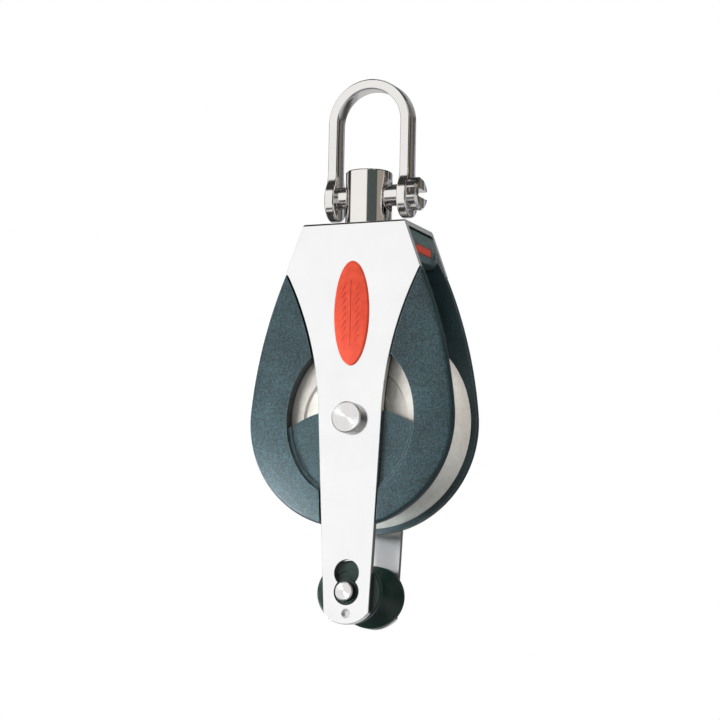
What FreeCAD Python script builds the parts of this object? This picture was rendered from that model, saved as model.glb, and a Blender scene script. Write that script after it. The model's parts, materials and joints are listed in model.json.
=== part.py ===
"""Single sheave block for a sailing boat: swivel shackle head, steel strap, two moulded cheeks,
a ball-bearing sheave and a becket with a thimble.

Frame: origin at the centre of the sheave, +Y along the sheave's axis from the front leg of the
strap to the back leg, +Z up to the shackle, +X across the block. Millimetres throughout.
"""
import FreeCAD, Part
import math
import os

V = FreeCAD.Vector

# ---------------------------------------------------------------- driving dimensions
RUNNING = 0.05              # radial clearance of a shaft in its hole
CLEAR = 0.1                 # gap between parts that only sit beside each other

# sheave
SHEAVE_R = 30.0
SHEAVE_HALF = 8.3           # half width over the rims
GROOVE_BOTTOM_R = 26.2
GROOVE_HALF = 7.4           # half width of the groove's mouth
DISH_HALF = 6.9             # half width at the dished side
DISH_R = 25.0
HOLLOW_HALF = 6.1           # half width in the ring-shaped hollow around the hub
HOLLOW_IN_R = 11.6
HOLLOW_OUT_R = 15.7
HUB_HALF = 7.1

# bearing
PIN_R = 3.2
PIN_HEAD_R = 4.55
PIN_HEAD_H = 2.9
PIN_HEAD_CHAMFER = 0.35
RACE_R = 6.9
BORE_R = 9.9
BALL_R = 1.9
BALL_PITCH_R = 8.4
BALL_GROOVE_R = 1.95
BALL_COUNT = 13
ROW_Y = 3.4
SPACER_HALF = 1.1
CAP_INNER_Y = 5.9
CAP_R = 9.5

# strap
STRAP_HALF = 11.2           # half width over the two legs
STRAP_T = 1.7
WEB_TOP_Z = 57.5
WEB_HALF_X = 15.8
SHOULDER = (20.95, 43.5)    # x, z of the widest corner
WAIST_MID = (13.15, 23.6)   # a point on the concave side between shoulder and waist
WAIST = (9.75, 0.0)
LEG_TAPER = 0.05            # growth of the leg's half width per mm of height
LEG_END_R = 9.3             # round end of the leg, about the becket pin
BEND_R = 1.0
BEND_IN_R = 0.3
STRAP_EDGE_R = 0.2

# becket
BECKET_Z = -49.9
KEYHOLE_R = 3.86
KEYHOLE_TOP_Z = -44.5
BECKET_PIN_R = 2.7
BECKET_PIN_HALF = 13.2
THIMBLE_R = 9.9             # half width of the oval flanges
THIMBLE_HALF_Z = 9.1
THIMBLE_CORE_R = 4.9
THIMBLE_BOSS_R = 3.7
THIMBLE_FLANGE_Y = 7.9      # where the flange ends and the rope groove begins
KEY_PIN_Z = -56.1
KEY_PIN_R = 1.4
KEY_PIN_IN_Y = 8.0
KEY_PIN_DEPTH = 1.4         # how far its end lies under the strap's face

# cheeks
CHEEK_OUT_Y = 11.3
CHEEK_IN_Y = 7.5
CHEEK_R = 31.5
CHEEK_SIDE_R = 135.0        # radius of the sides, which run on from the round lower part
CHEEK_SIDE_ANGLE = 5.5      # degrees above the axis where the sides begin
CHEEK_SIDE_TOP_Z = 43.4
CHEEK_BAR_TOP_Z = 47.4      # top of the bar that lies behind the strap
CHEEK_EDGE_R = 0.9
CHANNEL_GAP = 0.5           # gap around the strap in the cheek's channel
RIM_SPACE_Y = 8.65          # inner face outside the middle, set back for the sheave's rim
RIM_SPACE_IN_R = 24.4
WINDOW_X = 19.8
WINDOW_Z = 23.3
PANEL_Y = 9.8               # face of the closed lower part of the window
PANEL_TOP_Z = 3.5
PANEL_TOP_R = 36.7
BEAD_Y = 10.35
BEAD_WIDTH = 1.1
PILLAR_INSET = 0.5          # the bar behind the strap is this much narrower than the strap

# head
POST_R = 6.85
POST_TOP_Z = 74.1
COLLAR_R = 8.6
COLLAR_H = 2.0
WASHER_T = 1.0
LOCK_NECK_HALF = 3.5        # half the distance across the flats of the post's square neck
LOCK_NECK_R = 4.4           # the neck's corners are turned to this radius
LOCK_NECK_BOTTOM_Z = 48.3
PILOT_R = 3.45
PILOT_BOTTOM_Z = 46.85
PILOT_BUSH_R = 4.55
BLOCK_BOTTOM_Z = 45.7
BLOCK_FLOOR_Z = 46.7
BLOCK_CORNER_R = 2.5        # rounding of the lower corners
BLOCK_INSET = 0.65          # how far the block's sides lie inside the strap's edges
BLOCK_HALF_Y = 9.4
KEY_Z = 49.9
KEY_HALF_Z = 1.2
KEY_HALF_Y = 5.8
KEY_OUT_X = 17.6
KEY_TRAVEL = 4.0
KEY_HOLE_R = 4.7
KEY_SLOT_HALF = 3.56

# shackle
SHACKLE_PIN_Z = 66.9
SHACKLE_PIN_R = 3.2
BOW_IN_R = 9.8
BOW_T = 3.05
BOW_HALF_Y = 2.9
BOW_CENTRE_Z = 88.85
BOW_X = 0.7                 # the bow lies this far towards the pin's head in its side play
BOW_EDGE_R = 0.6
EYE_HALF_Y = 5.25
EYE_HALF_Z = 7.0            # from the pin down to the end of the eye
EYE_FLARE_R = 8.0           # the leg widens into the eye along this radius
HEAD_R = 4.9
HEAD_LENGTH = 3.1
HEAD_SLOT_HALF = 1.2
HEAD_SLOT_DEPTH = 3.0

# badges
BADGE_X = 5.4
BADGE_Z = 15.3
BADGE_CENTRE_Z = 30.6
BADGE_T = 0.6
BADGE_PEG_R = 1.2
BADGE_PEG_OFFSET = 8.0
BADGE_LINE_HALF = 9.6       # half length of the line down the middle
BADGE_MARK_DEPTH = 0.15
BADGE_MARK_WIDTH = 0.4
BADGE_MARK_COUNT = 8        # slanted marks on each side of the line
BADGE_MARK_X = 2.1
BADGE_MARK_LENGTH = 2.3
BADGE_MARK_STEP = 2.1
BADGE_MARK_SLANT = 35.0


# ---------------------------------------------------------------- helpers
def cylinder(radius, start, end):
    """A cylinder between two points."""
    axis = end.sub(start)
    return Part.makeCylinder(radius, axis.Length, start, axis)


def along_y(radius, y0, y1, z=0.0, x=0.0):
    return cylinder(radius, V(x, y0, z), V(x, y1, z))


def along_x(radius, x0, x1, z):
    return cylinder(radius, V(x0, 0, z), V(x1, 0, z))


def along_z(radius, z0, z1):
    return cylinder(radius, V(0, 0, z0), V(0, 0, z1))


def box(x0, x1, y0, y1, z0, z1):
    return Part.makeBox(x1 - x0, y1 - y0, z1 - z0, V(x0, y0, z0))


def xz(x, z):
    return V(x, 0, z)


def line(a, b):
    return Part.LineSegment(a, b).toShape()


def arc(a, b, c):
    """The arc from a to c through b."""
    return Part.Arc(a, b, c).toShape()


def plate(edges, y0, y1):
    """A plate with an outline drawn in the XZ plane, from y0 to y1."""
    face = Part.Face(Part.Wire(edges))
    face.translate(V(0, y0, 0))
    return face.extrude(V(0, y1 - y0, 0))


def oval(half_x, half_z):
    """An ellipse in the XZ plane about the origin, taller than wide or wider than tall."""
    ellipse = Part.Ellipse(V(0, 0, 0), max(half_x, half_z), min(half_x, half_z)).toShape()
    if half_z > half_x:
        ellipse.rotate(V(0, 0, 0), V(0, 0, 1), 90)
    ellipse.rotate(V(0, 0, 0), V(1, 0, 0), 90)
    return ellipse


def spin_about_y(edges):
    """The solid swept by a closed profile drawn in the XY half plane, x being the radius."""
    return Part.Face(Part.Wire(edges)).revolve(V(0, 0, 0), V(0, 1, 0), 360)


def closed_path(points):
    return [line(a, b) for a, b in zip(points, points[1:] + points[:1])]


def ring_about_y(inner_r, outer_r, y0, y1):
    return along_y(outer_r, y0, y1).cut(along_y(inner_r, y0 - 1, y1 + 1))


def round_edges(shape, radius, wanted):
    """Round the edges that the test function picks."""
    return shape.makeFillet(radius, [edge for edge in shape.Edges if wanted(edge)])


def bevel_edges(shape, size, wanted):
    return shape.makeChamfer(size, [edge for edge in shape.Edges if wanted(edge)])


def lies_at_y(edge, y):
    return abs(edge.BoundBox.YMin - y) < 1e-4 and abs(edge.BoundBox.YMax - y) < 1e-4


def to_back(shape):
    """The same piece on the other side of the block."""
    return shape.mirror(V(0, 0, 0), V(0, 1, 0))


# ---------------------------------------------------------------- strap
def leg_half_width(z):
    return WAIST[0] + LEG_TAPER * z


def leg_corner():
    """Where the tapered side of a leg meets the round end."""
    low = BECKET_Z - LEG_END_R
    high = BECKET_Z
    for _ in range(40):
        middle = (low + high) / 2
        reach = math.hypot(leg_half_width(middle), middle - BECKET_Z)
        low, high = (middle, high) if reach > LEG_END_R else (low, middle)
    return leg_half_width(high), high


def strap_outline(grow=0.0):
    """The strap's front view, grown sideways and at its end by the given amount."""
    corner_x, corner_z = leg_corner()
    right_top = xz(WEB_HALF_X + grow, WEB_TOP_Z)
    right_shoulder = xz(SHOULDER[0] + grow, SHOULDER[1])
    right_mid = xz(WAIST_MID[0] + grow, WAIST_MID[1])
    right_waist = xz(WAIST[0] + grow, WAIST[1])
    right_corner = xz(corner_x + grow, corner_z)
    end = xz(0, BECKET_Z - LEG_END_R - grow)
    mirrored = [xz(-p.x, p.z) for p in (right_top, right_shoulder, right_mid, right_waist, right_corner)]
    left_top, left_shoulder, left_mid, left_waist, left_corner = mirrored
    return [
        line(left_top, right_top),
        line(right_top, right_shoulder),
        arc(right_shoulder, right_mid, right_waist),
        line(right_waist, right_corner),
        arc(right_corner, end, left_corner),
        line(left_corner, left_waist),
        arc(left_waist, left_mid, left_shoulder),
        line(left_shoulder, left_top),
    ]


def strap():
    """One plate bent into a web and two legs, with a keyhole near the end of each leg."""
    body = plate(strap_outline(), -STRAP_HALF, STRAP_HALF)
    body = round_edges(body, BEND_R, lambda e: is_bend_edge(e, STRAP_HALF, WEB_TOP_Z))
    body = round_edges(body, STRAP_EDGE_R, lambda e: lies_at_y(e, STRAP_HALF) or lies_at_y(e, -STRAP_HALF))
    inner_half = STRAP_HALF - STRAP_T
    inner_top = WEB_TOP_Z - STRAP_T
    inside = box(-40, 40, -inner_half, inner_half, -80, inner_top)
    inside = round_edges(inside, BEND_IN_R, lambda e: is_bend_edge(e, inner_half, inner_top))
    body = body.cut(inside)
    holes = [
        along_y(KEYHOLE_R, -20, 20, BECKET_Z),
        along_y(KEYHOLE_R, -20, 20, KEYHOLE_TOP_Z),
        along_y(PIN_R + RUNNING, -20, 20),
        along_y(KEY_PIN_R, -20, 20, KEY_PIN_Z),
        along_z(POST_R + 2 * RUNNING, WEB_TOP_Z - 5, WEB_TOP_Z + 5),
    ]
    for offset in (-BADGE_PEG_OFFSET, BADGE_PEG_OFFSET):
        holes.append(along_y(BADGE_PEG_R + RUNNING, -20, 20, BADGE_CENTRE_Z + offset))
    return body.cut(holes)


def is_bend_edge(edge, y, z):
    """True for the long corner where the web meets a leg."""
    b = edge.BoundBox
    level = abs(b.ZMin - z) < 1e-4 and abs(b.ZMax - z) < 1e-4
    return level and abs(abs(b.YMin) - y) < 1e-4 and abs(b.YMax - b.YMin) < 1e-4


# ---------------------------------------------------------------- cheeks
def cheek_outline():
    """A round lower part, two long arcs up to the strap's shoulders and a bar between the legs on top."""
    start = math.radians(CHEEK_SIDE_ANGLE)
    back_off = CHEEK_R - CHEEK_SIDE_R
    centre = xz(back_off * math.cos(start), back_off * math.sin(start))
    end = math.asin((CHEEK_SIDE_TOP_Z - centre.z) / CHEEK_SIDE_R)
    half_way = (start + end) / 2
    low = xz(CHEEK_R * math.cos(start), CHEEK_R * math.sin(start))
    middle = centre.add(xz(CHEEK_SIDE_R * math.cos(half_way), CHEEK_SIDE_R * math.sin(half_way)))
    top = centre.add(xz(CHEEK_SIDE_R * math.cos(end), CHEEK_SIDE_R * math.sin(end)))
    bar = xz(block_half_width(CHEEK_BAR_TOP_Z), CHEEK_BAR_TOP_Z)
    mirrored = [xz(-p.x, p.z) for p in (low, middle, top, bar)]
    left_low, left_middle, left_top, left_bar = mirrored
    return [
        line(left_bar, bar),
        line(bar, top),
        arc(top, middle, low),
        arc(low, xz(0, -CHEEK_R), left_low),
        arc(left_low, left_middle, left_top),
        line(left_top, left_bar),
    ]


def window_prism(inset, y0, y1):
    """The oval of the window as a prism, drawn inset by the given amount."""
    return plate([oval(WINDOW_X - inset, WINDOW_Z - inset)], y0, y1)


def front_cheek():
    """Side plate, thinner outside its middle, with a channel for the strap and a window on each side of it."""
    body = plate(cheek_outline(), -CHEEK_OUT_Y, -CHEEK_IN_Y)
    body = round_edges(body, CHEEK_EDGE_R, lambda e: lies_at_y(e, -CHEEK_OUT_Y))
    rim_space = ring_about_y(RIM_SPACE_IN_R, 70.0, -RIM_SPACE_Y, 0)
    below_panel_top = along_y(PANEL_TOP_R, -20, 0, PANEL_TOP_Z - PANEL_TOP_R)
    pillar = plate(strap_outline(-PILLAR_INSET), -20, 0)
    opening = window_prism(0.0, -20, 0).cut(below_panel_top).cut(pillar)
    step = window_prism(0.0, -20, -BEAD_Y)
    panel = window_prism(BEAD_WIDTH, -20, -PANEL_Y)
    channel = plate(strap_outline(CHANNEL_GAP), -20, -(STRAP_HALF - STRAP_T) + RUNNING)
    pin_hole = along_y(PIN_R + RUNNING, -20, 0)
    return body.cut([rim_space, opening, step, panel, channel, pin_hole])


# ---------------------------------------------------------------- sheave and bearing
def sheave_profile():
    """Half section of the sheave, from the bore out to the groove."""
    right = [
        V(BORE_R, HUB_HALF, 0),
        V(HOLLOW_IN_R - 0.5, HUB_HALF, 0),
        V(HOLLOW_IN_R, HOLLOW_HALF, 0),
        V(HOLLOW_OUT_R, HOLLOW_HALF, 0),
        V(HOLLOW_OUT_R + 0.6, DISH_HALF, 0),
        V(DISH_R, DISH_HALF, 0),
        V(DISH_R + 0.4, SHEAVE_HALF, 0),
        V(SHEAVE_R - 0.4, SHEAVE_HALF, 0),
        V(SHEAVE_R, SHEAVE_HALF - 0.4, 0),
        V(SHEAVE_R, GROOVE_HALF, 0),
    ]
    left = [V(p.x, -p.y, 0) for p in reversed(right)]
    edges = [line(a, b) for a, b in zip(right, right[1:])]
    edges.append(arc(right[-1], V(GROOVE_BOTTOM_R, 0, 0), left[0]))
    edges += [line(a, b) for a, b in zip(left, left[1:])]
    edges.append(line(left[-1], right[0]))
    return edges


def ball_tracks():
    """The two ring-shaped paths that the balls run in."""
    return [Part.makeTorus(BALL_PITCH_R, BALL_GROOVE_R, V(0, y, 0), V(0, 1, 0)) for y in (-ROW_Y, ROW_Y)]


def sheave():
    return spin_about_y(sheave_profile()).cut(ball_tracks())


def inner_race():
    race_half = CHEEK_IN_Y - RUNNING
    return ring_about_y(PIN_R + RUNNING, RACE_R, -race_half, race_half).cut(ball_tracks())


def ball_row(y):
    """One row of bearing balls, evenly spaced."""
    balls = []
    for i in range(BALL_COUNT):
        angle = 2 * math.pi * i / BALL_COUNT
        centre = V(BALL_PITCH_R * math.cos(angle), y, BALL_PITCH_R * math.sin(angle))
        balls.append(Part.makeSphere(BALL_R, centre))
    return Part.makeCompound(balls)


def ball_spacer():
    return ring_about_y(RACE_R + 0.3, BORE_R - 0.3, -SPACER_HALF, SPACER_HALF)


def front_race_cap():
    return ring_about_y(RACE_R + 0.02, CAP_R, -(CHEEK_IN_Y - RUNNING), -CAP_INNER_Y)


def sheave_pin():
    """The shank and its round head, which stands on the front leg."""
    shank = along_y(PIN_R, -STRAP_HALF, STRAP_HALF + PIN_HEAD_H - 0.6)
    head = along_y(PIN_HEAD_R, -STRAP_HALF - PIN_HEAD_H, -STRAP_HALF)
    head = bevel_edges(head, PIN_HEAD_CHAMFER, lambda e: lies_at_y(e, -STRAP_HALF - PIN_HEAD_H))
    return shank.fuse(head).removeSplitter()


def rear_pin_cap():
    """Cap pressed over the shank's end, the same size as the head."""
    end = STRAP_HALF + PIN_HEAD_H
    cap = along_y(PIN_HEAD_R, STRAP_HALF, end)
    cap = bevel_edges(cap, PIN_HEAD_CHAMFER, lambda e: lies_at_y(e, end))
    return cap.cut(along_y(PIN_R + 0.01, 0, end - 0.58))


# ---------------------------------------------------------------- becket
def becket_thimble():
    """A bobbin with oval, stepped flanges and a boss at each end that fills the strap's hole."""
    flange_end = STRAP_HALF - STRAP_T - CLEAR
    boss_end = STRAP_HALF - 0.2
    rim_round = 0.5
    right = [
        V(BECKET_PIN_R + RUNNING, boss_end, 0),
        V(THIMBLE_BOSS_R, boss_end, 0),
        V(THIMBLE_BOSS_R, flange_end, 0),
        V(4.6, flange_end, 0),
        V(4.6, flange_end - 0.3, 0),
        V(6.1, flange_end - 0.3, 0),
        V(6.1, flange_end, 0),
        V(THIMBLE_R, flange_end, 0),
        V(THIMBLE_R, THIMBLE_FLANGE_Y, 0),
    ]
    left = [V(p.x, -p.y, 0) for p in reversed(right)]
    edges = [line(a, b) for a, b in zip(right, right[1:])]
    edges.append(arc(right[-1], V(THIMBLE_CORE_R, 0, 0), left[0]))
    edges += [line(a, b) for a, b in zip(left, left[1:])]
    edges.append(line(left[-1], right[0]))
    flanges = plate([oval(THIMBLE_R, THIMBLE_HALF_Z)], -flange_end, flange_end)
    flanges = round_edges(flanges, rim_round, lambda e: lies_at_y(e, flange_end) or lies_at_y(e, -flange_end))
    bobbin = spin_about_y(edges).common(flanges.fuse(along_y(THIMBLE_BOSS_R, -boss_end, boss_end)))
    bobbin.translate(V(0, 0, BECKET_Z))
    for side in (-1, 1):
        bobbin = bobbin.cut(along_y(KEY_PIN_R, side * (KEY_PIN_IN_Y - 0.1), side * 20, KEY_PIN_Z))
    return bobbin


def becket_pin():
    pin = along_y(BECKET_PIN_R, -BECKET_PIN_HALF, BECKET_PIN_HALF, BECKET_Z)
    return bevel_edges(pin, 0.3, lambda e: lies_at_y(e, BECKET_PIN_HALF) or lies_at_y(e, -BECKET_PIN_HALF))


def thimble_key_pins():
    """A short round pin through each leg into the thimble's flange, so that it can't turn."""
    outer = STRAP_HALF - KEY_PIN_DEPTH
    return Part.makeCompound(
        [along_y(KEY_PIN_R - 0.01, side * KEY_PIN_IN_Y, side * outer, KEY_PIN_Z) for side in (-1, 1)])


# ---------------------------------------------------------------- swivel head
def swivel_post():
    """Post with a cross hole, a collar under the web, a square neck for the lock and a pilot end."""
    web_underside = WEB_TOP_Z - STRAP_T
    collar_top = web_underside - RUNNING - WASHER_T - CLEAR
    collar_bottom = collar_top - COLLAR_H
    stem = along_z(POST_R, collar_top - 0.5, POST_TOP_Z)
    stem = bevel_edges(stem, 0.35, lambda e: abs(e.BoundBox.ZMin - POST_TOP_Z) < 1e-4)
    collar = along_z(COLLAR_R, collar_bottom, collar_top)
    square = box(-LOCK_NECK_HALF, LOCK_NECK_HALF, -LOCK_NECK_HALF, LOCK_NECK_HALF,
                 LOCK_NECK_BOTTOM_Z, collar_bottom)
    neck = square.common(along_z(LOCK_NECK_R, LOCK_NECK_BOTTOM_Z, collar_bottom))
    pilot = along_z(PILOT_R, PILOT_BOTTOM_Z, LOCK_NECK_BOTTOM_Z)
    post = stem.fuse([collar, neck, pilot]).removeSplitter()
    hole_r = SHACKLE_PIN_R + RUNNING
    post = post.cut(along_x(hole_r, -20, 20, SHACKLE_PIN_Z))
    return post.cut([countersink(side, hole_r) for side in (-1, 1)])


def countersink(side, hole_r):
    """Flared mouth of the post's cross hole on one side."""
    outer_x = POST_R + 0.2
    depth = 2.2
    start = V(side * outer_x, 0, SHACKLE_PIN_Z)
    return Part.makeCone(hole_r + depth * 0.75, hole_r, depth, start, V(-side, 0, 0))


def swivel_thrust_washer():
    top = WEB_TOP_Z - STRAP_T - RUNNING
    disc = along_z(COLLAR_R, top - WASHER_T, top)
    return disc.cut(along_z(POST_R + RUNNING, top - 5, top + 1))


def pilot_bush():
    top = LOCK_NECK_BOTTOM_Z - CLEAR
    return along_z(PILOT_BUSH_R, BLOCK_FLOOR_Z + 0.02, top).cut(along_z(PILOT_R + RUNNING, 40, 60))


def block_half_width(z):
    """Half width of the head block, just inside the strap's slanted edges."""
    slope = (SHOULDER[0] - WEB_HALF_X) / (WEB_TOP_Z - SHOULDER[1])
    return WEB_HALF_X + slope * (WEB_TOP_Z - z) - BLOCK_INSET


def head_block():
    """Block between the legs under the web: pocket for the collar, bore for the neck, slot for the key."""
    top = WEB_TOP_Z - STRAP_T - CLEAR
    low_x = block_half_width(BLOCK_BOTTOM_Z)
    high_x = block_half_width(top)
    corners = [xz(-high_x, top), xz(high_x, top), xz(low_x, BLOCK_BOTTOM_Z), xz(-low_x, BLOCK_BOTTOM_Z)]
    block = plate(closed_path(corners), -BLOCK_HALF_Y, BLOCK_HALF_Y)
    block = bevel_edges(block, 0.5, lambda e: abs(e.BoundBox.ZMin - top) < 1e-4)
    block = round_edges(block, BLOCK_CORNER_R, is_lower_block_corner)
    collar_bottom = top + CLEAR - RUNNING - WASHER_T - CLEAR - COLLAR_H
    pocket = along_z(COLLAR_R + CLEAR, collar_bottom - CLEAR, top + 1)
    bore = along_z(PILOT_BUSH_R + 0.01, BLOCK_FLOOR_Z, top + 1)
    slot_y = KEY_HALF_Y + CLEAR
    slot_z = KEY_HALF_Z + CLEAR
    slot = box(-30, 30, -slot_y, slot_y, KEY_Z - slot_z, KEY_Z + slot_z)
    bar_y = RIM_SPACE_Y - CLEAR
    bar_z = CHEEK_BAR_TOP_Z + CLEAR
    beside_bars = [box(-30, 30, bar_y, 20, 40, bar_z), box(-30, 30, -20, -bar_y, 40, bar_z)]
    block = block.cut([pocket, bore, slot] + beside_bars)
    return block.cut([finger_recess(side) for side in (-1, 1)])


def is_lower_block_corner(edge):
    b = edge.BoundBox
    return b.ZMax < BLOCK_BOTTOM_Z + 1e-4 and b.XMax - b.XMin < 1e-4


def finger_recess(side):
    """Shallow oval recess around the end of the key."""
    face_x = block_half_width(KEY_Z)
    ellipse = Part.Ellipse(V(0, 0, 0), 8.0, 3.5).toShape()
    ellipse.rotate(V(0, 0, 0), V(0, 0, 1), 90)
    ellipse.rotate(V(0, 0, 0), V(0, 1, 0), 90)
    face = Part.Face(Part.Wire([ellipse]))
    face.translate(V(side * (face_x - 0.35), 0, KEY_Z))
    return face.extrude(V(side * 5, 0, 0))


def lock_key():
    """Flat key across the head: its hole clears the turning neck, its slot grips the neck's flats."""
    key = box(-KEY_OUT_X + KEY_TRAVEL, KEY_OUT_X, -KEY_HALF_Y, KEY_HALF_Y, KEY_Z - KEY_HALF_Z, KEY_Z + KEY_HALF_Z)
    key = round_edges(key, 0.3, lambda e: abs(e.BoundBox.XMax - e.BoundBox.XMin) < 1e-4)
    slot_end = KEY_TRAVEL + LOCK_NECK_HALF + CLEAR
    slot = box(0, slot_end, -KEY_SLOT_HALF, KEY_SLOT_HALF, 40, 60)
    return key.cut([along_z(KEY_HOLE_R, 40, 60), slot])


# ---------------------------------------------------------------- shackle
def shackle_leg_profile():
    """Side view of one leg of the bow: a straight bar that flares into a long rounded eye."""
    pin_z = SHACKLE_PIN_Z
    low_z = pin_z - EYE_HALF_Z + EYE_HALF_Y
    flare_y = BOW_HALF_Y + EYE_FLARE_R
    to_flare = EYE_HALF_Y + EYE_FLARE_R
    flare_rise = math.sqrt(to_flare ** 2 - flare_y ** 2)
    neck_z = pin_z + flare_rise
    touch = V(0, EYE_HALF_Y * flare_y / to_flare, pin_z + EYE_HALF_Y * flare_rise / to_flare)
    turn = (math.pi + math.atan2(-flare_rise, -flare_y) + 2 * math.pi) / 2
    flare_mid = V(0, flare_y + EYE_FLARE_R * math.cos(turn), neck_z + EYE_FLARE_R * math.sin(turn))
    lift = math.atan2(flare_rise, flare_y) / 2
    eye_mid = V(0, EYE_HALF_Y * math.cos(lift), pin_z + EYE_HALF_Y * math.sin(lift))
    right = [V(0, BOW_HALF_Y, BOW_CENTRE_Z), V(0, BOW_HALF_Y, neck_z), flare_mid, touch, eye_mid,
             V(0, EYE_HALF_Y, pin_z), V(0, EYE_HALF_Y, low_z)]
    left = [V(0, -p.y, p.z) for p in right]
    return [
        line(left[0], right[0]),
        line(right[0], right[1]),
        arc(right[1], right[2], right[3]),
        arc(right[3], right[4], right[5]),
        line(right[5], right[6]),
        arc(right[6], V(0, 0, pin_z - EYE_HALF_Z), left[6]),
        line(left[6], left[5]),
        arc(left[5], left[4], left[3]),
        arc(left[3], left[2], left[1]),
        line(left[1], left[0]),
    ]


def shackle_leg(side):
    face = Part.Face(Part.Wire(shackle_leg_profile()))
    face.translate(V(side * BOW_IN_R, 0, 0))
    return face.extrude(V(side * BOW_T, 0, 0))


def shackle_bow():
    """Flat bar bent into a U, with an eye at the end of each leg."""
    crown = ring_about_y(BOW_IN_R, BOW_IN_R + BOW_T, -BOW_HALF_Y, BOW_HALF_Y)
    crown.translate(V(0, 0, BOW_CENTRE_Z))
    crown = crown.common(box(-20, 20, -10, 10, BOW_CENTRE_Z, BOW_CENTRE_Z + 20))
    bow = crown.fuse([shackle_leg(-1), shackle_leg(1)]).removeSplitter()
    bow = round_edges(bow, BOW_EDGE_R, is_long_bow_edge)
    bow = bow.cut(along_x(SHACKLE_PIN_R + RUNNING, -20, 20, SHACKLE_PIN_Z))
    bow.translate(V(BOW_X, 0, 0))
    return bow


def is_long_bow_edge(edge):
    """True for the corners that run along the bar and around the eyes."""
    middle = edge.valueAt((edge.FirstParameter + edge.LastParameter) / 2)
    b = edge.BoundBox
    on_crown = middle.z > BOW_CENTRE_Z + 0.1
    return (on_crown or b.XMax - b.XMin < 1e-3) and b.ZMax - b.ZMin > 0.1


def shackle_pin():
    """Pin screwed into the far eye, with a deep-slotted round head."""
    far_face = BOW_IN_R + BOW_T - BOW_X
    head_start = BOW_IN_R + BOW_T + BOW_X + RUNNING
    head_end = head_start + HEAD_LENGTH
    shank = along_x(SHACKLE_PIN_R, -far_face, head_start, SHACKLE_PIN_Z)
    shank = bevel_edges(shank, 0.4, lambda e: abs(e.BoundBox.XMax + far_face) < 1e-4)
    head = along_x(HEAD_R, head_start, head_end, SHACKLE_PIN_Z)
    head = bevel_edges(head, 0.7, lambda e: abs(e.BoundBox.XMin - head_end) < 1e-4)
    slot = box(head_end - HEAD_SLOT_DEPTH, head_end + 1, -10, 10,
               SHACKLE_PIN_Z - HEAD_SLOT_HALF, SHACKLE_PIN_Z + HEAD_SLOT_HALF)
    return shank.fuse(head).removeSplitter().cut(slot)


# ---------------------------------------------------------------- badges
def badge_mark(x, z, length, slant):
    """Cutter for one shallow groove in the front badge's face."""
    face = -STRAP_HALF - BADGE_T
    half = BADGE_MARK_WIDTH / 2
    groove = box(-half, half, face - 1, face + BADGE_MARK_DEPTH, -length / 2, length / 2)
    groove.rotate(V(0, 0, 0), V(0, 1, 0), slant)
    groove.translate(V(x, 0, z))
    return groove


def badge_marks():
    """A line down the middle and slanted marks beside it, like the lay of a rope."""
    marks = [badge_mark(0, BADGE_CENTRE_Z, 2 * BADGE_LINE_HALF, 0)]
    for i in range(BADGE_MARK_COUNT):
        z = BADGE_CENTRE_Z + (i - (BADGE_MARK_COUNT - 1) / 2) * BADGE_MARK_STEP
        marks.append(badge_mark(-BADGE_MARK_X, z, BADGE_MARK_LENGTH, BADGE_MARK_SLANT))
        marks.append(badge_mark(BADGE_MARK_X, z, BADGE_MARK_LENGTH, BADGE_MARK_SLANT))
    return marks


def front_badge():
    """Raised oval badge with two pegs that push into the strap."""
    badge = plate([oval(BADGE_X, BADGE_Z)], -STRAP_HALF - BADGE_T, -STRAP_HALF)
    badge.translate(V(0, 0, BADGE_CENTRE_Z))
    badge = round_edges(badge, 0.4, lambda e: lies_at_y(e, -STRAP_HALF - BADGE_T)).cut(badge_marks())
    pegs = []
    for offset in (-BADGE_PEG_OFFSET, BADGE_PEG_OFFSET):
        pegs.append(along_y(BADGE_PEG_R, -STRAP_HALF, -STRAP_HALF + STRAP_T - CLEAR, BADGE_CENTRE_Z + offset))
    return badge.fuse(pegs).removeSplitter()


# ---------------------------------------------------------------- export
def build_nodes():
    return {
        "shackle_bow": shackle_bow(),
        "shackle_pin": shackle_pin(),
        "swivel_post": swivel_post(),
        "swivel_thrust_washer": swivel_thrust_washer(),
        "pilot_bush": pilot_bush(),
        "strap": strap(),
        "head_block": head_block(),
        "lock_key": lock_key(),
        "front_cheek": front_cheek(),
        "back_cheek": to_back(front_cheek()),
        "front_badge": front_badge(),
        "back_badge": to_back(front_badge()),
        "sheave": sheave(),
        "sheave_pin": sheave_pin(),
        "rear_pin_cap": rear_pin_cap(),
        "inner_race": inner_race(),
        "front_ball_row": ball_row(-ROW_Y),
        "back_ball_row": ball_row(ROW_Y),
        "ball_spacer": ball_spacer(),
        "front_race_cap": front_race_cap(),
        "back_race_cap": to_back(front_race_cap()),
        "becket_thimble": becket_thimble(),
        "becket_pin": becket_pin(),
        "thimble_key_pins": thimble_key_pins(),
    }


os.makedirs("parts", exist_ok=True)
for name, shape in build_nodes().items():
    volume = sum(solid.Volume for solid in shape.Solids)
    print(f"{name}: {len(shape.Solids)} solid(s), {volume:.1f} mm3, valid {shape.isValid()}")
    shape.exportStep(f"parts/{name}.step")
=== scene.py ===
"""Looks for the single sheave block: materials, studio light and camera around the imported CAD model."""

import json
import math

import bpy
from mathutils import Matrix, Vector

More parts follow.
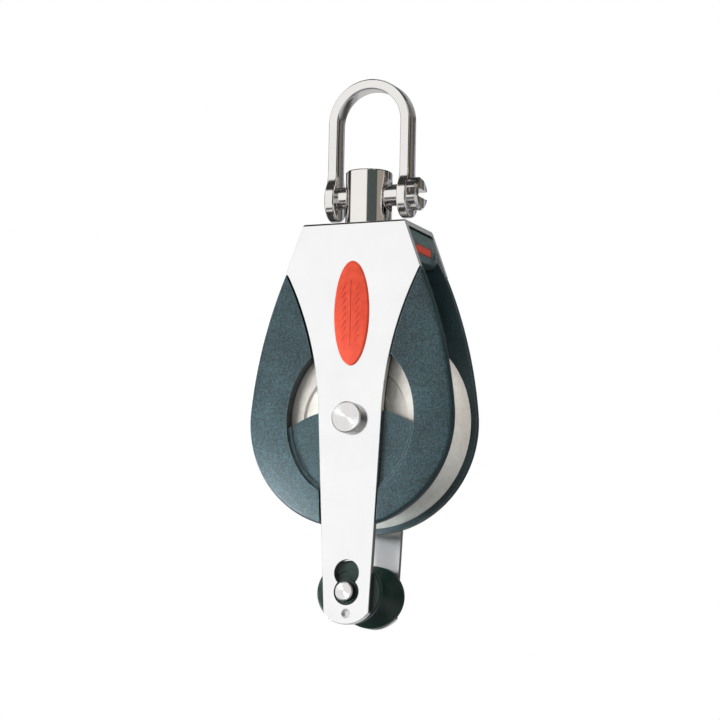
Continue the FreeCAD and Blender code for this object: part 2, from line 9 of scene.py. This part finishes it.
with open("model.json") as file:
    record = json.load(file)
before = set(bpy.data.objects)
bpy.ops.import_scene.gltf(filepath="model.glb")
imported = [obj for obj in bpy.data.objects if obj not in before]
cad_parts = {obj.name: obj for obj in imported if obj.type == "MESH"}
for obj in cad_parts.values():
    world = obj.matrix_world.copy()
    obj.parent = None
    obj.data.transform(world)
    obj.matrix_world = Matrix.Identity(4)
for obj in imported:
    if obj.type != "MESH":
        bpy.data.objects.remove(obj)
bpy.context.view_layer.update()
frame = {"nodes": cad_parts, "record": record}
NODES = frame["nodes"]

MM = 0.001
X, Y = 0, 1    # axes by number
WHITE = (1.0, 1.0, 1.0)


# ---------------------------------------------------------------- node helpers
NOISE_LOW, NOISE_HIGH = 0.3, 0.7    # most of a noise's values lie between these


def add(tree, kind, *links, **settings):
    """A shader node; links are (input, value or output socket) pairs, settings are its properties."""
    node = tree.nodes.new("ShaderNode" + kind)
    for key, value in settings.items():
        setattr(node, key, value)
    for key, value in links:
        if isinstance(value, bpy.types.NodeSocket):
            tree.links.new(value, node.inputs[key])
        else:
            node.inputs[key].default_value = value
    return node


def maths(tree, operation, *values):
    """The output of a Math node on up to three values or sockets."""
    return add(tree, "Math", *enumerate(values), operation=operation).outputs[0]


def split(tree, vector):
    """The three components of a vector."""
    return add(tree, "SeparateXYZ", ("Vector", vector)).outputs


def place(tree):
    """The position in the object's own frame, in metres."""
    return add(tree, "TexCoord").outputs["Object"]


def noise(tree, where, size, detail=2.0, rough=0.5, stretch=None):
    """A noise value from 0 to 1, with features of about this size in metres."""
    if stretch:
        where = add(tree, "Mapping", ("Vector", where), ("Scale", stretch)).outputs[0]
    made = add(tree, "TexNoise", ("Vector", where), ("Scale", 1.0 / size), ("Detail", detail),
               ("Roughness", rough))
    return made.outputs["Fac"]


def ramp(tree, value, *ends):
    """A colour that follows value from one (position, colour) end to the other."""
    made = add(tree, "ValToRGB", ("Fac", value))
    for element, (position, colour) in zip(made.color_ramp.elements, ends):
        element.position = position
        element.color = (*colour, 1.0)
    return made.outputs[0]


def span(tree, value, low, high, to_low, to_high, **settings):
    """value mapped from low..high to to_low..to_high and clamped."""
    return add(tree, "MapRange", ("Value", value), ("From Min", low), ("From Max", high),
               ("To Min", to_low), ("To Max", to_high), **settings).outputs[0]


def mixed(tree, amount, first, second):
    """A colour between first and second, each a socket or a (red, green, blue) tuple."""
    first, second = ((*side, 1.0) if isinstance(side, tuple) else side for side in (first, second))
    return add(tree, "Mix", (0, amount), (6, first), (7, second), data_type="RGBA").outputs[2]


def linear(red, green, blue):
    """Linear light for a colour given as 0 to 255 display values."""
    def one(value):
        value = value / 255.0
        return value / 12.92 if value <= 0.04045 else ((value + 0.055) / 1.055) ** 2.4
    return (one(red), one(green), one(blue))


def material(name):
    """A new material with its tree and Principled shader."""
    made = bpy.data.materials.new(name)
    made.use_nodes = True
    tree = made.node_tree
    return made, tree, tree.nodes["Principled BSDF"]


def feed(tree, shader, **values):
    """Sets or links the shader's sockets; underscores in names stand for spaces."""
    for key, value in values.items():
        socket = shader.inputs[key.replace("_", " ")]
        if isinstance(value, bpy.types.NodeSocket):
            tree.links.new(value, socket)
        else:
            socket.default_value = value


def bump(tree, height, distance, under=None):
    """A normal bumped by a height value times a distance, over the normal under it."""
    links = [("Height", height), ("Distance", distance)]
    if under is not None:
        links.append(("Normal", under))
    return add(tree, "Bump", *links).outputs[0]


# ---------------------------------------------------------------- parts of materials
STREAK_SIZE = 1.2 * MM
STREAK_STRETCH = 0.03    # how fast a streak changes along itself, as a share of how fast across
BEVEL_SAMPLES = 6
# painted edge highlight: a pale colour laid in flecks along sharp edges
EDGE_HIGHLIGHT_RADIUS = 0.4 * MM
EDGE_HIGHLIGHT_FROM, EDGE_HIGHLIGHT_FULL = 0.99, 0.88    # cosine of the turn between the rounded and the plain normal
EDGE_HIGHLIGHT_MOST = 0.8    # share of the pale painted edge highlight where the edge is sharpest
FLECK_FROM, FLECK_FULL = 0.35, 0.6    # speckle values where a fleck starts and is full
FLECK_LEAST = 0.3    # share of the painted edge highlight that is left between flecks


def falling(tree, off, rate, under=None):
    """A normal as if the face fell away by rate times off squared, in metres."""
    return bump(tree, maths(tree, "MULTIPLY", maths(tree, "MULTIPLY", off, off), -rate), 1.0, under)


def crowned(tree, here, axis, rate, reach, streaks=0.0):
    """A normal as if flat faces bulged along an axis, out to this reach, with streaks this high across it."""
    off = maths(tree, "MINIMUM", maths(tree, "ABSOLUTE", split(tree, here)[axis]), reach)
    under = falling(tree, off, rate)
    if not streaks:
        return under
    stretch = tuple(1.0 if i == axis else STREAK_STRETCH for i in range(3))
    return bump(tree, noise(tree, here, STREAK_SIZE, stretch=stretch), streaks, under)


def domed(tree, here, under, start, rate):
    """A normal as if the face fell away past this distance from the sheave's axis, or from x = 0 above it."""
    x, _, z = split(tree, here)
    low = maths(tree, "MINIMUM", z, 0.0)
    reach = maths(tree, "SQRT", maths(tree, "MULTIPLY_ADD", low, low, maths(tree, "MULTIPLY", x, x)))
    past = maths(tree, "MAXIMUM", maths(tree, "SUBTRACT", reach, start), 0.0)
    return falling(tree, past, rate, under)


def frontal(tree):
    """1 on faces turned to the front or the back of the block, and 0 on faces that look sideways."""
    return maths(tree, "ABSOLUTE", split(tree, add(tree, "TexCoord").outputs["Normal"])[Y])


def rounded(tree, radius):
    """The normal with the edges rounded to this radius."""
    return add(tree, "Bevel", ("Radius", radius), samples=BEVEL_SAMPLES).outputs[0]


def painted_edge_highlight(tree, speck):
    """How much painted highlight falls on the sharp edges: highest in flecks along them, and 0 away from them.
    """
    plain = add(tree, "NewGeometry").outputs["Normal"]
    turn = add(tree, "VectorMath", (0, rounded(tree, EDGE_HIGHLIGHT_RADIUS)), (1, plain), operation="DOT_PRODUCT")
    edges = span(tree, turn.outputs["Value"], EDGE_HIGHLIGHT_FROM, EDGE_HIGHLIGHT_FULL, 0.0, EDGE_HIGHLIGHT_MOST)
    flecks = span(tree, speck, FLECK_FROM, FLECK_FULL, FLECK_LEAST, 1.0)
    return maths(tree, "MULTIPLY", edges, flecks)


def clouded(tree, clouds, colour, dimmest):
    """The colour, dimmed to this share of itself in patches."""
    return ramp(tree, clouds, (NOISE_LOW, tuple(c * dimmest for c in colour)), (NOISE_HIGH, colour))


# ---------------------------------------------------------------- materials
STEEL_CLOUD, STEEL_DIMMEST = 12 * MM, 0.95
TURNED_CLOUD, TURNED_DIMMEST = 4 * MM, 0.93
# painted shade: the dark grey that a pin's sideways faces are coloured
PIN_SIDE_SHADE = (0.34, 0.34, 0.33)
SIDE_TO, END_FROM = 0.2, 0.6    # frontal values where a pin's painted side shade ends and where its end begins
SPECK_ROUGH = 0.65
PATCH, PATCH_SHARE = 14 * MM, 0.25
DARKEST_BELOW = 0.4    # speckle value below which the plastic has its darkest colour
SIDE_SHADE_TO, FACE_FROM = 0.3, 0.8    # frontal values where the painted shade on a plate's sideways faces ends and where its face begins
SIDE_SHADE_SPECKLE = 0.2    # share of the speckled colour that stays under the painted side shade
ROUGH_SWING = 0.05


def steel(name, colour, rough, grain, height, stretch=None, crown=None):
    """Stainless steel: fine grain in the bump, and clouds of slightly different polish."""
    made, tree, shader = material(name)
    here = place(tree)
    clouds = noise(tree, here, STEEL_CLOUD, detail=3.0)
    fine = noise(tree, here, grain, detail=3.0, stretch=stretch)
    under = crowned(tree, here, **crown) if crown else None
    feed(tree, shader, Base_Color=clouded(tree, clouds, colour, STEEL_DIMMEST), Metallic=1.0,
         Roughness=span(tree, clouds, NOISE_LOW, NOISE_HIGH, *rough),
         Normal=bump(tree, fine, height, under))
    return made


def turned_steel(name, colour, rough):
    """Pin steel whose ends shine round the pin's own axis, as turned metal does, and whose sides are painted
    darker as painted shade.
    """
    made, tree, shader = material(name)
    clouds = noise(tree, place(tree), TURNED_CLOUD, detail=3.0)
    # painted shade: the pin's sideways faces are coloured dark grey, its ends clouded steel
    tint = mixed(tree, span(tree, frontal(tree), SIDE_TO, END_FROM, 0.0, 1.0), PIN_SIDE_SHADE,
                 clouded(tree, clouds, colour, TURNED_DIMMEST))
    feed(tree, shader, Base_Color=tint, Metallic=1.0, Anisotropic=0.8,
         Roughness=span(tree, clouds, NOISE_LOW, NOISE_HIGH, *rough),
         Tangent=add(tree, "Tangent", direction_type="RADIAL", axis="Y").outputs[0])
    return made


def moulded(name, dark, light, size, rough, height, detail=3.0, high=0.62, gloss=0.5, edge=0.0,
            crown=None, dome=None, pale=None, side_shade=None):
    """Moulded plastic, speckled from dark to light, with a spark-eroded texture of this size and height.

    edge is the radius that edges are rounded to, pale the colour of a painted highlight on sharp edges, and the
    last argument the colour of a painted shade on sideways faces.
    """
    made, tree, shader = material(name)
    here = place(tree)
    speck = noise(tree, here, size, detail=detail, rough=SPECK_ROUGH)
    patches = maths(tree, "MULTIPLY", noise(tree, here, PATCH), PATCH_SHARE)
    mottle = maths(tree, "MULTIPLY_ADD", speck, 1.0 - PATCH_SHARE, patches)
    colour = ramp(tree, mottle, (DARKEST_BELOW, dark), (high, light))
    # painted shade: faces that look sideways are coloured darker
    if side_shade:
        colour = mixed(tree, span(tree, frontal(tree), SIDE_SHADE_TO, FACE_FROM, SIDE_SHADE_SPECKLE, 1.0), side_shade, colour)
    # painted highlight: sharp edges get the pale colour in flecks
    if pale:
        colour = mixed(tree, painted_edge_highlight(tree, speck), colour, pale)
    under = rounded(tree, edge) if edge else None
    if crown:
        under = crowned(tree, here, **crown)
    if dome:
        under = domed(tree, here, under, **dome)
    feed(tree, shader, Base_Color=colour, Specular_IOR_Level=gloss,
         Roughness=span(tree, speck, NOISE_LOW, NOISE_HIGH, rough + ROUGH_SWING, rough - ROUGH_SWING),
         Normal=bump(tree, speck, height, under))
    return made


LOOKS = {
    "shackle_steel": (steel, dict(colour=(0.84, 0.82, 0.80), rough=(0.11, 0.17), grain=0.8 * MM,
                                  height=0.008 * MM,
                                  crown=dict(axis=Y, rate=27.0, reach=2.9 * MM, streaks=0.08 * MM))),
    "post_steel": (steel, dict(colour=(0.86, 0.83, 0.80), rough=(0.06, 0.1), grain=0.4 * MM,
                               height=0.003 * MM, stretch=(0.05, 0.05, 1.0))),
    "strap_steel": (steel, dict(colour=(0.94, 0.94, 0.94), rough=(0.12, 0.17), grain=0.4 * MM,
                                height=0.004 * MM, stretch=(1.0, 1.0, 0.08))),
    "pin_steel": (turned_steel, dict(colour=(0.82, 0.80, 0.79), rough=(0.24, 0.32))),
    "bearing_steel": (steel, dict(colour=(0.7, 0.7, 0.7), rough=(0.12, 0.2), grain=0.4 * MM,
                                  height=0.003 * MM)),
    "bearing_plastic": (moulded, dict(dark=linear(150, 146, 136), light=linear(176, 172, 162),
                                      size=0.8 * MM, rough=0.4, height=0.01 * MM)),
    "block_plastic": (moulded, dict(dark=linear(50, 64, 64), light=linear(80, 94, 94),
                                    size=0.6 * MM, rough=0.5, height=0.04 * MM, edge=0.2 * MM)),
    "cheek_plastic": (moulded, dict(dark=linear(6, 26, 31), light=linear(54, 84, 90),
                                    size=0.36 * MM, rough=0.46, height=0.06 * MM, detail=1.0, high=0.72,
                                    gloss=0.6, edge=0.25 * MM, dome=dict(start=19 * MM, rate=8.0),
                                    # pale: painted highlight on sharp edges; the colour after it: painted shade
                                    # on sideways faces
                                    pale=linear(100, 122, 126), side_shade=linear(2, 24, 24))),
    "thimble_plastic": (moulded, dict(dark=linear(0, 24, 18), light=linear(4, 40, 32),
                                      size=0.6 * MM, rough=0.35, height=0.01 * MM, edge=0.2 * MM)),
    "sheave_plastic": (moulded, dict(dark=linear(198, 193, 185), light=linear(208, 203, 195),
                                     size=1.5 * MM, rough=0.38, height=0.005 * MM)),
    "key_red": (moulded, dict(dark=linear(156, 53, 38), light=linear(181, 67, 48),
                              size=0.6 * MM, rough=0.45, height=0.02 * MM)),
    "badge_red": (moulded, dict(dark=linear(200, 54, 22), light=linear(212, 68, 34),
                                size=2 * MM, rough=0.4, height=0.01 * MM,
                                crown=dict(axis=X, rate=18.0, reach=5.4 * MM))),
}
MATERIALS = {slot: kind(slot, **settings) for slot, (kind, settings) in LOOKS.items()}
SLOT_OF = {part["node"]: part["material_slot"] for part in frame["record"]["subparts"]}
for name, thing in NODES.items():
    thing.data.materials.clear()
    thing.data.materials.append(MATERIALS[SLOT_OF[name]])


# ---------------------------------------------------------------- studio
BASE_LIGHT = (0.03, 0.03, 0.03)    # of the room where it has no panel
PANELS = [
    # azimuth from the front towards +X, elevation, width of the soft edge, all in degrees, and radiance;
    # a later panel covers an earlier one
    ((-200, 200), (-120, -32), 10, (0.22, 0.24, 0.25)),    # pale floor
    ((-80, 12), (-25, 45), 6, WHITE),                      # large white screen, front left
    ((62, 96), (2, 45), 4, (0.36, 0.32, 0.28)),            # warm wall on the right
    ((14, 60), (2, 14), 4, (0.075, 0.095, 0.092)),         # dark room behind the camera
    ((14, 60), (16, 42), 4, (0.45, 0.45, 0.45)),           # higher screen on the right
    ((-136, -84), (15, 42), 4, (0.45, 0.45, 0.45)),        # higher screen on the left
    ((147, 160), (4, 60), 4, (0.20, 0.18, 0.15)),          # far side of the room
    ((167, 200), (4, 14), 4, (0.48, 0.52, 0.60)),          # pale backdrop, lower part
    ((163, 182), (16, 30), 3, (0.27, 0.28, 0.28)),         # pale backdrop, upper part
    ((-200, -138), (-20, 30), 6, (0.45, 0.46, 0.48)),      # pale backdrop, left part
    ((14, 96), (-44, -4), 4, (0.60, 0.60, 0.60)),          # low screen on the right
    ((98, 200), (-44, 2), 4, (0.38, 0.39, 0.42)),          # low screen behind
    ((146, 168), (-34, 4), 4, (0.07, 0.065, 0.06)),        # dark doorway in it
    ((-200, -82), (-44, 2), 4, (0.60, 0.60, 0.60)),        # low screen on the left
    ((-200, 200), (73, 120), 4, (0.80, 0.80, 0.80)),       # overhead screen
]
FLOOR_DEPTH, FLOOR_HALF = 0.45, 12.0
PAPER_CLOUD = 0.6
PAPER_GREYS = (0.84,) * 3, (0.86,) * 3
PAPER_LIT = 0.12    # share of the lamps' light that the paper gives back, besides its own glow
FADE_FROM, FADE_TO = 0.5, 6.0
CAMERA_AZIMUTH, CAMERA_ELEVATION, CAMERA_ROLL = map(math.radians, (22.763, -8.763, 1.133))
CAMERA_ACROSS, CAMERA_RISE, CAMERA_DISTANCE = -0.001318, 0.018347, 1.00079    # from the origin
SENSOR_MM, LENS_MM = 36.0, 172.55


def window(tree, value, limits, soft):
    """1 between the limits and 0 outside, with soft edges of this width."""
    low, high = limits
    rise = span(tree, value, low - soft / 2, low + soft / 2, 0.0, 1.0, interpolation_type="SMOOTHSTEP")
    fall = span(tree, value, high + soft / 2, high - soft / 2, 0.0, 1.0, interpolation_type="SMOOTHSTEP")
    return maths(tree, "MULTIPLY", rise, fall)


def studio_world():
    """A dark room with screens around the block, and plain white where the camera sees past it."""
    world = bpy.data.worlds.new("studio")
    bpy.context.scene.world = world
    world.use_nodes = True
    tree = world.node_tree
    tree.nodes.clear()
    x, y, z = split(tree, add(tree, "TexCoord").outputs["Generated"])
    turn = maths(tree, "DEGREES", maths(tree, "ARCTAN2", x, maths(tree, "MULTIPLY", y, -1.0)))
    lift = maths(tree, "DEGREES", maths(tree, "ARCSINE", z))
    room = BASE_LIGHT
    for around, up, soft, light in PANELS:
        inside = maths(tree, "MULTIPLY", window(tree, turn, around, soft), window(tree, lift, up, soft))
        room = mixed(tree, inside, room, light)
    lit = add(tree, "Background", ("Color", room))
    seen = add(tree, "Background", ("Color", (*WHITE, 1.0)))
    pick = add(tree, "MixShader", (0, add(tree, "LightPath").outputs["Is Camera Ray"]), (1, lit.outputs[0]),
               (2, seen.outputs[0]))
    add(tree, "OutputWorld", ("Surface", pick.outputs[0]))


def soft_light(name, spot, aim, size, watts, colour=WHITE, glossy=False, spread=180):
    """A square area light at a spot, pointed at aim, in metres; spread is its beam's angle in degrees."""
    data = bpy.data.lights.new(name, "AREA")
    data.size = size
    data.energy = watts
    data.color = colour
    data.spread = math.radians(spread)
    lamp = bpy.data.objects.new(name, data)
    lamp.location = spot
    lamp.rotation_mode = "QUATERNION"
    lamp.rotation_quaternion = (Vector(aim) - Vector(spot)).to_track_quat("-Z", "Y")
    lamp.visible_glossy = glossy
    lamp.visible_camera = False
    bpy.context.scene.collection.objects.link(lamp)


def floor():
    """A plain pale floor well below the hanging block, which fades to the white around it."""
    mesh = bpy.data.meshes.new("floor")
    corners = [(x * FLOOR_HALF, y * FLOOR_HALF, 0) for x, y in ((-1, -1), (1, -1), (1, 1), (-1, 1))]
    mesh.from_pydata(corners, [], [(0, 1, 2, 3)])
    plate = bpy.data.objects.new("floor", mesh)
    plate.location = (0, 0, -FLOOR_DEPTH)
    bpy.context.scene.collection.objects.link(plate)
    made, tree, shader = material("floor_paper")
    here = place(tree)
    paper = ramp(tree, noise(tree, here, PAPER_CLOUD), *zip((NOISE_LOW, NOISE_HIGH), PAPER_GREYS))
    away = add(tree, "VectorMath", (0, here), operation="LENGTH").outputs["Value"]
    fade = span(tree, away, FADE_FROM, FADE_TO, 0.0, 1.0)
    feed(tree, shader, Base_Color=ramp(tree, fade, (0.0, (PAPER_LIT,) * 3), (1.0, (0.0,) * 3)), Roughness=0.9,
         Specular_IOR_Level=0.0, Emission_Color=mixed(tree, fade, paper, WHITE), Emission_Strength=1.0)
    mesh.materials.append(made)
    plate.visible_glossy = False
    plate.visible_diffuse = False


def camera():
    """To the right of the block's front and below it, looking slightly up, turned a degree."""
    right = Vector((math.cos(CAMERA_AZIMUTH), math.sin(CAMERA_AZIMUTH), 0))
    level = Vector((math.sin(CAMERA_AZIMUTH), -math.cos(CAMERA_AZIMUTH), 0))
    back = math.cos(CAMERA_ELEVATION) * level + Vector((0, 0, math.sin(CAMERA_ELEVATION)))
    up = back.cross(right)
    right, up = (math.cos(CAMERA_ROLL) * right + math.sin(CAMERA_ROLL) * up,
                 math.cos(CAMERA_ROLL) * up - math.sin(CAMERA_ROLL) * right)
    data = bpy.data.cameras.new("camera")
    data.sensor_width = SENSOR_MM
    data.lens = LENS_MM
    data.clip_start = 0.05
    data.clip_end = 50.0
    thing = bpy.data.objects.new("camera", data)
    spot = CAMERA_ACROSS * right + CAMERA_RISE * up + CAMERA_DISTANCE * back
    thing.matrix_world = Matrix.Translation(spot) @ Matrix((right, up, back)).transposed().to_4x4()
    bpy.context.scene.collection.objects.link(thing)
    bpy.context.scene.camera = thing


studio_world()
floor()
camera()
soft_light("key", (-0.7, -0.8, 0.2), (0, 0, 0), size=0.35, watts=9.0)
soft_light("left", (-0.15, -0.35, 0.0), (-0.034, -0.01, 0.0), size=0.05, watts=0.0085, spread=17)
soft_light("low_left", (-0.1, -0.075, -0.062), (-0.022, -0.011, -0.026), size=0.05, watts=0.0165,
           colour=(0.82, 0.94, 1.0), glossy=True, spread=36)
soft_light("right", (0.5, -0.02, 0.4), (0.02, 0, 0), size=0.3, watts=3.2)
soft_light("low_right", (0.3, -0.02, -0.3), (0.02, 0, -0.01), size=0.3, watts=0.15, colour=(0.6, 0.84, 1.0))
soft_light("behind", (-0.5, 0.9, 0.3), (0, 0, 0), size=0.5, watts=7.0)
bpy.context.scene.view_settings.view_transform = "Standard"
